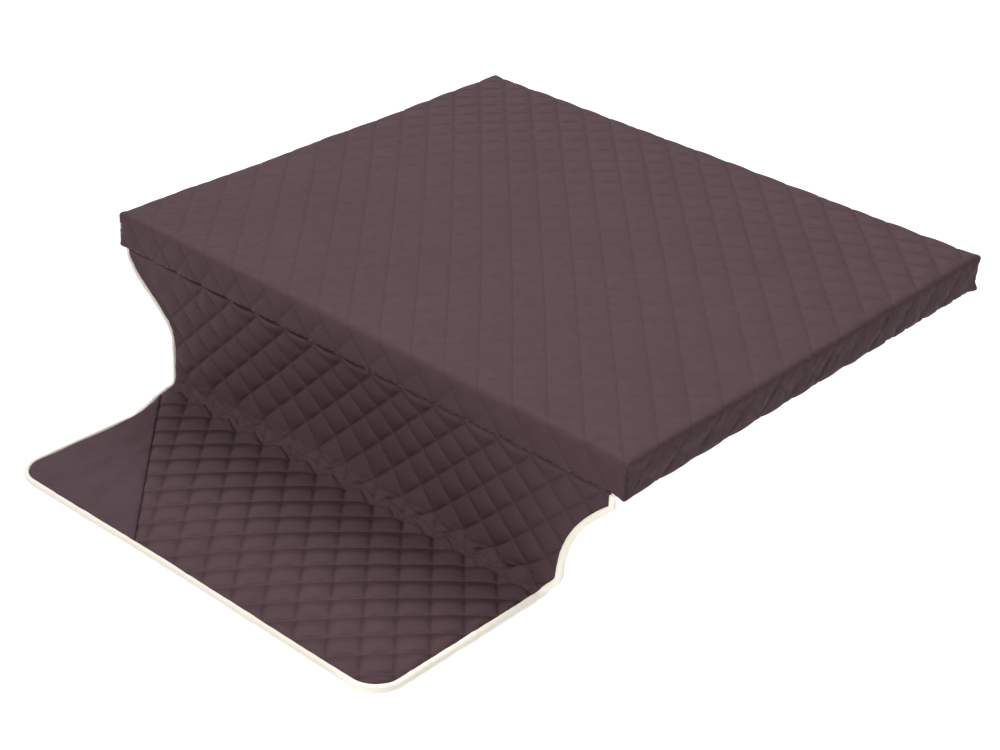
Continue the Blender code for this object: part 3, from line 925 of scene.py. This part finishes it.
def build_binding(mat):
    """The rolled edge round the flap, thin at the seam and fatter on the right."""
    path = flap_side(-1, 0.003) + flap_side(1, 0.003)[::-1]
    path = [p for p in path if p[1] > 0.0015]
    u, v = np.array(path).T
    points = flap_place(u, v, EDGE_DEPTH)
    face = unit(flap_place(u, v, EDGE_DEPTH - 0.003) - points)
    outward = unit(np.cross(unit(np.gradient(points, axis=0)), face))
    middle = len(points) // 2
    centre = flap_place(np.array([0.0]), np.array([0.35]), EDGE_DEPTH)[0]
    if np.dot(outward[middle], points[middle] - centre) < 0:
        outward = -outward
    length = way_along(points)
    wave = ripple(length, length * 0, 0.045, 5) * 0.0004 + ripple(length, length * 0, 0.013, 6) * 0.00022
    fat = (1.0 + wave / 0.005) * (1.10 + 0.34 * smooth(u, 0.30, 0.39) - 0.08 * smooth(-u, 0.33, 0.37))
    thin = 0.25 + 0.75 * smooth(v, 0.0, 0.024)
    section = binding_section(0.0094, 0.0052)
    sections = [[(a * f, b * t * f) for a, b in section] for f, t in zip(fat, thin)]
    return sweep("flap_rolled_edge", points, outward, face, sections, mat)


def fill_flap(body, still):
    """Quilt the flap's face, and shape it where it bends and where it lies flat."""
    full = flap_fullness(*read(body.data, "flat_u", "flat_v"))
    mesh = quilt(body, FLAP_PUFF, full, 0.004, 6.0, 0.003, still)
    u, v, face = read(mesh, "flat_u", "flat_v", "face")
    sink_lines(mesh, 0.0010 * flap_fullness(u, v) * (face > 0.9))
    lean_cells(body)
    ruffle(body)


def make_flap(mats):
    """The flap: its quilted part and plain corner, its rolled edge and its lining."""
    outline = flap_outline()
    main, corner = (clip(outline, *panel_seam(), side) for side in (-1, 1))
    body, still = build_flap_sheet("flap_quilt", main, flap_lines, FLAP_CELLS, QUILT_LAYER, mats["flap"])
    panel, _ = build_flap_sheet("flap_corner_panel_cloth", corner, panel_lines, 2, PANEL_LAYER, mats["plain"])
    fill_flap(body, still)
    subdivide(panel)
    crumple_panel(panel)
    layers = ("flap_upper_face", "flap_upper_wadding", "flap_outer_face", "flap_outer_wadding")
    bend(body, "quilted_cloth", *layers)
    declare(panel, "flap_outer", "plain_cloth", "flap_corner_panel")
    edge = build_binding(mats["cream"])
    bend(edge, "cream_cloth", "flap_upper_binding_left", "flap_upper_binding_right", "flap_outer_binding")
    lining, _ = build_flap_sheet("flap_lining_cloth", outline, lining_lines, 1, LINING_LAYER, mats["lining"])
    bend(lining, "cream_cloth", "flap_upper_lining", "flap_outer_lining")


# ---------------- materials


def shade(tint, share):
    """A tint made darker, or lighter where share is above 1."""
    return tuple(c * share for c in tint)


class Nodes:
    """A short way to write a shader's nodes."""

    def __init__(self, name, tint, roughness):
        self.mat = bpy.data.materials.new(name)
        self.mat.use_nodes = True
        self.tree = self.mat.node_tree
        self.shader = self.tree.nodes["Principled BSDF"]
        self.shader.inputs["Base Color"].default_value = (*tint, 1.0)
        self.shader.inputs["Roughness"].default_value = roughness
        self.mat.diffuse_color = (*tint, 1.0)

    def fixed(self, **values):
        for key, value in values.items():
            self.shader.inputs[key.replace("_", " ")].default_value = value

    def put(self, socket, value):
        if isinstance(value, bpy.types.NodeSocket):
            self.tree.links.new(value, socket)
        else:
            socket.default_value = value

    def node(self, kind, *values, **named):
        """A new node with its first inputs filled in turn and others by name."""
        node = self.tree.nodes.new("ShaderNode" + kind)
        for socket, value in zip(node.inputs, values):
            self.put(socket, value)
        for key, value in named.items():
            self.put(node.inputs[key], value)
        return node

    def maths(self, operation, *values):
        node = self.node("Math", *values)
        node.operation = operation
        return node.outputs[0]

    def times(self, first, *others):
        for value in others:
            first = self.maths("MULTIPLY", first, value)
        return first

    def plus(self, first, *others):
        for value in others:
            first = self.maths("ADD", first, value)
        return first

    def ramp(self, value, low, high, start=0.0, end=1.0):
        node = self.node("MapRange", value, low, high, start, end)
        node.interpolation_type = "SMOOTHSTEP"
        return node.outputs[0]

    def attributes(self, *names):
        nodes = [self.node("Attribute") for _ in names]
        for node, name in zip(nodes, names):
            node.attribute_name = name
        return [node.outputs["Fac"] for node in nodes]

    def place(self):
        return self.node("TexCoord").outputs["Object"]

    def parts(self, vector):
        return self.node("SeparateXYZ", vector).outputs

    def vector(self, x, y):
        return self.node("CombineXYZ", x, y).outputs[0]

    def scaled(self, vector, scale):
        return self.node("Mapping", Vector=vector, Scale=scale).outputs[0]

    def noise(self, vector, scale, detail=2.0, rough=0.5):
        node = self.node("TexNoise", Vector=vector, Scale=scale, Detail=detail, Roughness=rough)
        return node.outputs["Fac"]

    def mix(self, share, first, second):
        node = self.tree.nodes.new("ShaderNodeMix")
        node.data_type = "RGBA"
        self.put(node.inputs[0], share)
        for index, value in ((6, first), (7, second)):
            self.put(node.inputs[index], (*value, 1.0) if isinstance(value, tuple) else value)
        return node.outputs[2]

    def bump(self, height, strength, distance, below=None):
        node = self.node("Bump", Strength=strength, Distance=distance, Height=height)
        if below is not None:
            self.tree.links.new(below, node.inputs["Normal"])
        return node.outputs[0]

    def finish(self, colour=None, roughness=None, normal=None):
        for key, value in (("Base Color", colour), ("Roughness", roughness), ("Normal", normal)):
            if value is not None:
                self.tree.links.new(value, self.shader.inputs[key])
        return self.mat


def weave(n, u, v, pitch):
    """Plain weave of crossing threads, as a height from 0 to 1."""
    a, b = n.times(u, 1.0 / pitch), n.times(v, 1.0 / pitch)
    over_a, over_b = (n.maths("ABSOLUTE", n.maths("SINE", n.times(way, math.pi))) for way in (a, b))
    odd = n.maths("FLOORED_MODULO", n.plus(n.maths("FLOOR", a), n.maths("FLOOR", b)), 2.0)
    return n.plus(n.times(over_a, odd), n.times(over_b, n.maths("SUBTRACT", 1.0, odd)))


def line_gap(n, value):
    """Distance from a value to the nearest whole number."""
    return n.maths("ABSOLUTE", n.maths("SUBTRACT", value, n.maths("ROUND", value)))


def sewn_lines(n, colour, normal, dark, light):
    """Stitch lines: painted shade in the groove, the thread in dashes with its lighter colour partly a
    painted highlight, and puckers beside it.
    """
    a, b = n.attributes("line_a", "line_b")
    gap_a, gap_b = line_gap(n, a), line_gap(n, b)
    gap = n.maths("MINIMUM", gap_a, gap_b)
    # Painted shade: darkness next to the stitch lines, full on the first family and weaker on the second.
    near = n.maths("MAXIMUM", n.ramp(gap_a, 0.0, 0.035, 1.0, 0.0), n.ramp(gap_b, 0.0, 0.035, 0.35, 0.0))
    along = n.maths("FRACT", n.times(n.plus(a, b), 13.0))
    dash = n.ramp(n.maths("ABSOLUTE", n.maths("SUBTRACT", along, 0.5)), 0.30, 0.42, 1.0, 0.0)
    thread = n.times(n.ramp(gap, 0.008, 0.020, 1.0, 0.0), dash)
    colour = n.mix(n.times(near, 0.72), colour, shade(dark, 0.62))
    # The thread dashes are lighter than the cloth, partly as a painted highlight on the stitch lines.
    colour = n.mix(n.times(thread, 0.35), colour, shade(light, 1.5))
    pucker = n.noise(n.vector(n.times(a, 9.0), n.times(b, 9.0)), 1.0, 2.0)
    normal = n.bump(n.times(pucker, n.ramp(gap, 0.0, 0.20, 1.0, 0.0)), 0.5, 0.0016, normal)
    return colour, n.bump(thread, 0.4, 0.0005, normal)


def flap_painted_shade(n, colour, dark, seam):
    """Painted shade on the flap: darker just past each row line where it lies flat, less so towards its front
    edge, and a painted shadow next to its upper seam.
    """
    u, v, row = n.attributes("flat_u", "flat_v", "line_b")
    # Painted shade: each row is darkened just past its stitch line, on the flat outer section only.
    painted_row_shade = n.times(n.ramp(n.maths("FRACT", row), 0.0, 0.55, 1.0, 0.0), n.ramp(v, 0.21, 0.26))
    painted_row_shade = n.times(painted_row_shade, n.ramp(v, 0.33, 0.47, 0.90, 0.42))
    colour = n.mix(painted_row_shade, colour, shade(dark, 0.50))
    # Painted shadow: a dark strip next to the upper seam, weaker towards the right.
    seam_shadow_strength = n.ramp(u, -0.10, 0.32, seam, 0.25 * seam)
    return n.mix(n.times(n.ramp(v, 0.0016, 0.0042, 1.0, 0.0), seam_shadow_strength), colour, shade(dark, 0.25))


def cloth_material(name, dark, light, flat=True, stitched=False, pitch=0.0011, creased=0.3, seam=0.0):
    """Brushed woven polyester: fine weave, slight slubs and mottling, soft sheen, and sewn lines with painted
    shade in their grooves; seam adds painted shade on the flap.
    """
    n = Nodes(name, tuple((a + b) / 2 for a, b in zip(dark, light)), 0.62)
    place = n.place()
    if flat:
        u, v = n.attributes("flat_u", "flat_v")
        on_cloth = n.vector(u, v)
    else:
        u, y, z = n.parts(place)
        v = n.plus(y, z)
        on_cloth = place
    threads = weave(n, u, v, pitch)
    slubs_a = n.noise(n.scaled(on_cloth, (40.0, 420.0, 40.0)), 1.0, 3.0)
    slubs_b = n.noise(n.scaled(on_cloth, (420.0, 40.0, 40.0)), 1.0, 3.0)
    mottle = n.noise(place, 9.0, 4.0, 0.6)
    fine = n.noise(place, 900.0, 2.0)
    amounts = ((mottle, 0.45), (slubs_a, 0.25), (slubs_b, 0.15), (fine, 0.10), (threads, 0.10))
    share = n.plus(*(n.times(value, amount) for value, amount in amounts))
    colour = n.mix(n.ramp(share, 0.20, 0.85), dark, light)
    rough = n.ramp(n.noise(on_cloth, 60.0, 3.0), 0.3, 0.7, 0.56, 0.69)
    normal = n.bump(n.plus(threads, n.times(fine, 0.6)), 0.35, 0.00012)
    normal = n.bump(n.noise(on_cloth, 55.0, 3.0, 0.55), creased, 0.0009, normal)
    # Painted shade in the stitched grooves, and the thread's painted highlight.
    if stitched:
        colour, normal = sewn_lines(n, colour, normal, dark, light)
    # Painted shade along the flap's rows and a painted shadow beside its seam, by the seam strength.
    if seam:
        colour = flap_painted_shade(n, colour, dark, seam)
    n.fixed(Sheen_Weight=0.01, Sheen_Roughness=0.4, Sheen_Tint=(0.80, 0.60, 0.64, 1.0))
    n.fixed(Specular_IOR_Level=0.06)
    return n.finish(colour, rough, normal)


def cream_material(name, light, dark, painted_glow):
    """Soft pale cotton: faint ribs across, a little soiling and fuzz. A glow, when given, is painted light,
    and painted shade then darkens all but its right end.
    """
    n = Nodes(name, light, 0.8)
    place = n.place()
    ribs = n.noise(n.scaled(place, (900.0, 900.0, 900.0)), 1.0, 2.0)
    colour = n.mix(n.ramp(n.noise(place, 22.0, 4.0, 0.6), 0.35, 0.75), light, dark)
    colour = n.mix(n.times(ribs, 0.12), colour, shade(dark, 0.8))
    # Painted shade: with the glow, all but the right end (x above 0.37) is darkened.
    if painted_glow:
        painted_shade_share = n.ramp(n.parts(place)[0], 0.30, 0.37, 0.80, 0.0)
        colour = n.mix(painted_shade_share, colour, shade(dark, 0.76))
    normal = n.bump(n.noise(place, 130.0, 3.0), 0.35, 0.0008, n.bump(ribs, 0.4, 0.0002))
    n.fixed(Sheen_Weight=0.15, Sheen_Roughness=0.5, Specular_IOR_Level=0.3)
    # Painted light: the cloth glows by this strength, though it is no lamp.
    n.fixed(Emission_Color=(1.0, 0.92, 0.82, 1.0), Emission_Strength=painted_glow)
    return n.finish(colour, n.ramp(ribs, 0.3, 0.7, 0.72, 0.9), normal)


def foam_material():
    """Open foam cells, slightly yellowed in patches."""
    n = Nodes("foam_cells", (0.72, 0.70, 0.60), 0.9)
    place = n.place()
    gap = n.node("TexVoronoi", Vector=place, Scale=700.0).outputs["Distance"]
    colour = n.mix(n.ramp(gap, 0.1, 0.7), (0.52, 0.49, 0.38), (0.76, 0.73, 0.62))
    colour = n.mix(n.times(n.noise(place, 8.0, 3.0), 0.3), colour, (0.70, 0.62, 0.42))
    return n.finish(colour, n.ramp(gap, 0.1, 0.7, 0.95, 0.8), n.bump(gap, 0.6, 0.0006))


def nylon_material(name, tint):
    """Smooth thread or coil, slightly worn."""
    n = Nodes(name, tint, 0.4)
    place = n.place()
    grain = n.noise(place, 1500.0, 2.0)
    wear = n.noise(place, 60.0, 3.0)
    colour = n.mix(n.ramp(wear, 0.35, 0.75), tint, tuple(min(c * 1.5, 1) for c in tint))
    return n.finish(colour, n.ramp(wear, 0.3, 0.7, 0.34, 0.52), n.bump(grain, 0.3, 0.0001))


def metal_material():
    n = Nodes("brushed_zip_metal", (0.50, 0.48, 0.46), 0.35)
    place = n.place()
    brushed = n.noise(n.scaled(place, (150.0, 2500.0, 2500.0)), 1.0, 3.0)
    worn = n.noise(place, 220.0, 3.0)
    colour = n.mix(n.ramp(worn, 0.4, 0.7), (0.42, 0.40, 0.38), (0.60, 0.58, 0.55))
    n.fixed(Metallic=1.0)
    return n.finish(colour, n.ramp(brushed, 0.3, 0.7, 0.26, 0.44), n.bump(brushed, 0.25, 0.0001))


def floor_material():
    n = Nodes("pale_floor", (0.93, 0.93, 0.93), 0.9)
    colour = n.mix(n.noise(n.place(), 3.0, 2.0), (0.92, 0.92, 0.92), (0.95, 0.95, 0.95))
    n.fixed(Specular_IOR_Level=0.1, Emission_Color=(1.0, 1.0, 1.0, 1.0), Emission_Strength=0.12)
    return n.finish(colour)


def make_materials():
    pad_tints = (0.080, 0.047, 0.053), (0.099, 0.060, 0.067)
    flap_tints = (0.078, 0.046, 0.052), (0.097, 0.059, 0.065)
    plain_tints = (0.069, 0.043, 0.050), (0.088, 0.055, 0.063)
    tape_tints = (0.070, 0.045, 0.050), (0.100, 0.064, 0.070)
    return {
        "quilt": cloth_material("quilted_pad_cloth", *pad_tints, stitched=True, creased=0.05),
        # seam sets the flap's painted shade along its rows and its painted shadow beside the seam.
        "flap": cloth_material("quilted_flap_cloth", *flap_tints, stitched=True, creased=0.25, seam=0.85),
        "plain": cloth_material("plain_corner_cloth", *plain_tints, creased=0.45),
        "tape": cloth_material("zip_tape_weave", *tape_tints, flat=False, pitch=0.0006),
        # The cream edge glows as painted light, and carries painted shade except at its right end.
        "cream": cream_material("cream_edge_cloth", (0.98, 0.92, 0.83), (0.92, 0.84, 0.74), 0.13),
        "lining": cream_material("cream_lining_cloth", (0.74, 0.69, 0.61), (0.67, 0.61, 0.52), 0.0),
        "foam": foam_material(),
        "dark_thread": nylon_material("dark_sewing_thread", (0.022, 0.013, 0.015)),
        "pale_thread": nylon_material("pale_sewing_thread", (0.34, 0.27, 0.25)),
        "nylon": nylon_material("zip_coil_nylon", (0.070, 0.045, 0.050)),
        "metal": metal_material(),
    }


# ---------------- stitches and zip


def stitches(name, points, up, length, gap, width, mat):
    """A run of short rounded stitches along a line of points, each with its ends sunk in the cloth."""
    way = way_along(points)
    verts, faces = [], []
    start = 0.0
    while start + length < way[-1]:
        steps = np.linspace(start, start + length, 4)
        line = np.stack([np.interp(steps, way, points[:, i]) for i in range(3)], 1)
        lift = unit(np.stack([np.interp(steps, way, up[:, i]) for i in range(3)], 1))
        along = line[-1] - line[0]
        along /= np.linalg.norm(along)
        faces += tube_faces(len(verts), 4, 6)
        for k, (share, low) in enumerate(((0.45, -0.25), (1.0, 0.35), (1.0, 0.35), (0.45, -0.25))):
            aside = np.cross(along, lift[k])
            size = width / 2 * share
            for angle in (j * math.pi / 3 for j in range(6)):
                round_it = aside * size * math.cos(angle) + lift[k] * size * (math.sin(angle) + low)
                verts.append(line[k] + round_it)
        start += length + gap
    return face_outward(make_object(name, verts, faces, mat))


def build_coil(name, node, mat, side):
    """The toothed half of a coil zip in its CAD bar's place: a row of teeth on a core."""
    low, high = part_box(node)
    pitch = 0.0016
    mid_z, half_z = (low.z + high.z) / 2, (high.z - low.z) / 2
    mid_y, half_y = (low.y + high.y) / 2, (high.y - low.y) / 2
    verts, faces = [], []
    for i in range(int((high.x - low.x) / pitch)):
        x = low.x + (i + 0.5) * pitch
        faces += tube_faces(len(verts), 2, 8)
        for k, lean in ((-1, -0.00018), (1, 0.00018)):
            for angle in (j * math.pi / 4 for j in range(8)):
                bulge = 1.0 + 0.15 * (math.sin(angle) * side < -0.5)
                y, z = mid_y + half_y * math.cos(angle), mid_z + half_z * math.sin(angle) / bulge
                verts.append((x + k * 0.0005 + lean * math.cos(angle), y, z))
    faces += tube_faces(len(verts), 2, 6)
    for x in (low.x, high.x):
        for angle in (j * math.pi / 3 for j in range(6)):
            verts.append((x, mid_y + 0.5 * half_y * math.cos(angle), mid_z + 0.5 * half_z * math.sin(angle)))
    return face_outward(make_object(name, verts, faces, mat))


# ---------------- camera, light and floor


def build_camera():
    data = bpy.data.cameras.new("view")
    data.lens = 72.18
    data.sensor_width = 36.0
    camera = bpy.data.objects.new("view", data)
    right = Vector((0.74213, 0.66871, 0.04555))
    up = Vector((-0.35988, 0.34022, 0.86875))
    back = right.cross(up)
    matrix = Matrix((right, up, back)).transposed().to_4x4()
    matrix.translation = Vector((1.8402, -2.2555, 1.4438))
    camera.matrix_world = matrix
    bpy.context.scene.collection.objects.link(camera)
    bpy.context.scene.camera = camera


def sun_light(name, source, power, softness):
    """An even soft light from the direction of source."""
    data = bpy.data.lights.new(name, "SUN")
    data.energy = power
    data.angle = math.radians(softness)
    lamp = bpy.data.objects.new(name, data)
    lamp.rotation_euler = Vector(source).to_track_quat("Z", "Y").to_euler()
    bpy.context.scene.collection.objects.link(lamp)


def build_stage():
    world = bpy.data.worlds.new("soft_white")
    world.use_nodes = True
    background = world.node_tree.nodes["Background"]
    background.inputs["Color"].default_value = (1.0, 1.0, 1.0, 1.0)
    background.inputs["Strength"].default_value = 0.315
    bpy.context.scene.world = world
    bpy.context.scene.view_settings.view_transform = "Standard"
    floor = rounded_slab("floor", 22.0, 22.0, -4.46, -4.40, 0.5, 0.01, 2.0, floor_material())
    sun_light("key", (-0.62, 0.60, 1.2), 1.76, 34)
    sun_light("front", (-0.12, -0.95, 1.2), 1.62, 50)


# ---------------- base, seams and zip in their places


def declare(obj, body, slot, *nodes):
    """Attach a piece to the body it rides on and hide the CAD nodes it stands for. The slot is not used."""
    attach(obj, body)
    if nodes:
        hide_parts(*nodes)
    return obj


def bend(obj, slot, *nodes):
    """The flap's long pieces bend at its crease."""
    start, end = (0, FACE_Y + 0.004, -0.172), (0, FACE_Y - 0.036, -0.212)
    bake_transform(obj, "flap_upper", "flap_outer", start=start, end=end)
    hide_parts(*nodes)


def make_base(mats):
    """The pad's base cloth, its foam, and the piping round the base."""
    low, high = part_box("base_panel")
    size = (high.x, high.y, low.z - 0.0020, low.z - 0.0012)
    cloth = rounded_slab("base_cloth", *size, 0.012, 0.0003, 0.02, mats["lining"])
    declare(cloth, "pad", "cream_cloth", "base_panel")
    low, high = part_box("foam_core")
    size = (high.x, high.y, low.z + 0.0012, high.z - 0.002)
    foam = rounded_slab("foam_slab", *size, 0.02, 0.006, 0.02, mats["foam"])
    declare(foam, "pad", "foam", "foam_core")
    path, outward = (np.array(rows + rows[:1]) for rows in rounded_ring(0.5225, 0.4475, 0.013, 0.006, 9))
    x, y = abs(path).T
    drawn_in = 0.005 * (1 - smooth(x / PAD_HALF_X + y / PAD_HALF_Y, 1.93, 1.965))
    path = path - outward * drawn_in[:, None]
    path = np.column_stack([path, np.full(len(path), -0.0015)])
    outward = np.column_stack([outward, np.zeros(len(path))])
    ring = level_sweep("base_rolled_edge", path, outward, oval(0.0011, 0.0011), mats["cream"])
    declare(ring, "pad", "cream_cloth", "base_edge_binding")


def front_line(cover, height):
    """A line along the cover's front face at that height, lying on the cloth."""
    points = coordinates(cover.data)
    near = points[(points[:, 1] < 0.01 - PAD_HALF_Y) & (abs(points[:, 2] - height) < 0.0025)]
    xs = np.linspace(-0.497, 0.497, 300)
    ys = []
    for x in xs:
        close = near[abs(near[:, 0] - x) < 0.0035, 1]
        ys.append(close.min() if len(close) else -PAD_HALF_Y)
    return np.stack([xs, np.array(ys) - 0.0001, np.full(len(xs), height)], 1)


def make_seams(mats, cover):
    """Stitches up the pad's corners, under its front edge, and along the flap's plain corner."""
    names = {(-1, -1): "front_left", (1, -1): "front_right", (-1, 1): "rear_left", (1, 1): "rear_right"}
    d = np.linspace(0.006, TURN + WALL, 30)
    for (sx, sy), word in names.items():
        line = cover_place(sx * (FLAT_X + ease_out(d)), sy * (FLAT_Y + d))
        up = np.stack([np.full(30, sx * 0.7), np.full(30, sy * 0.7), 0.8 * (1 - smooth(d, 0.0, TURN))], 1)
        line = line - unit(up) * STITCH_SINK
        seam = stitches(f"corner_stitches_{word}", line, up, 0.0036, 0.0005, 0.0013, mats["dark_thread"])
        declare(seam, "pad", "dark_thread", f"corner_seam_{word}")
    line = front_line(cover, 0.0030)
    up = np.tile([0.0, -1.0, 0.0], (len(line), 1))
    seam = stitches("flap_seam_stitches", line, up, 0.0020, 0.0125, 0.0005, mats["pale_thread"])
    declare(seam, "pad", "pale_thread", "flap_seam_thread")
    line = np.linspace((*PANEL_START, -0.2128), (*PANEL_END, -0.2128), 60)
    up = np.tile([0.0, 0.0, 1.0], (60, 1))
    seam = stitches("corner_panel_stitches", line, up, 0.0026, 0.0010, 0.0006, mats["dark_thread"])
    declare(seam, "flap_outer", "dark_thread", "corner_seam_thread")


def make_seam_rolls(mats):
    """Seam allowances: a narrow roll under the pad's front edge, and the hem below the zip."""
    rolls = (("flap_seam_roll", 0.499, -0.4468, -0.0016, oval(0.0019, 0.0021)),
             ("zip_hem_roll", 0.4205, 0.4472, 0.0006, oval(0.0013, 0.0027)))
    for name, half, y, z, section in rolls:
        line = np.linspace((-half, y, z), (half, y, z), 200)
        across = np.tile([0.0, 1.0, 0.0], (len(line), 1))
        roll = level_sweep(name, line, across, section, mats["tape"])
        declare(roll, "pad", "plain_cloth")


def make_zip(mats):
    """Teeth in place of the zip's bars, and finishes for the CAD pieces that stay."""
    for word, side in (("upper", 1), ("lower", -1)):
        coil = build_coil(f"zip_teeth_{word}", f"zip_coil_{word}", mats["nylon"], side)
        declare(coil, "pad", "zip_nylon", f"zip_coil_{word}")
        frame["nodes"][f"zip_tape_{word}"].data.materials[0] = mats["tape"]
    for word in ("stop_left", "stop_right", "slider", "pull"):
        frame["nodes"][f"zip_{word}"].data.materials[0] = mats["metal"]


def build():
    build_camera()
    build_stage()
    mats = make_materials()
    cover = make_pad(mats)
    make_flap(mats)
    make_base(mats)
    make_seams(mats, cover)
    make_seam_rolls(mats)
    make_zip(mats)


build()
bpy.context.view_layer.update()
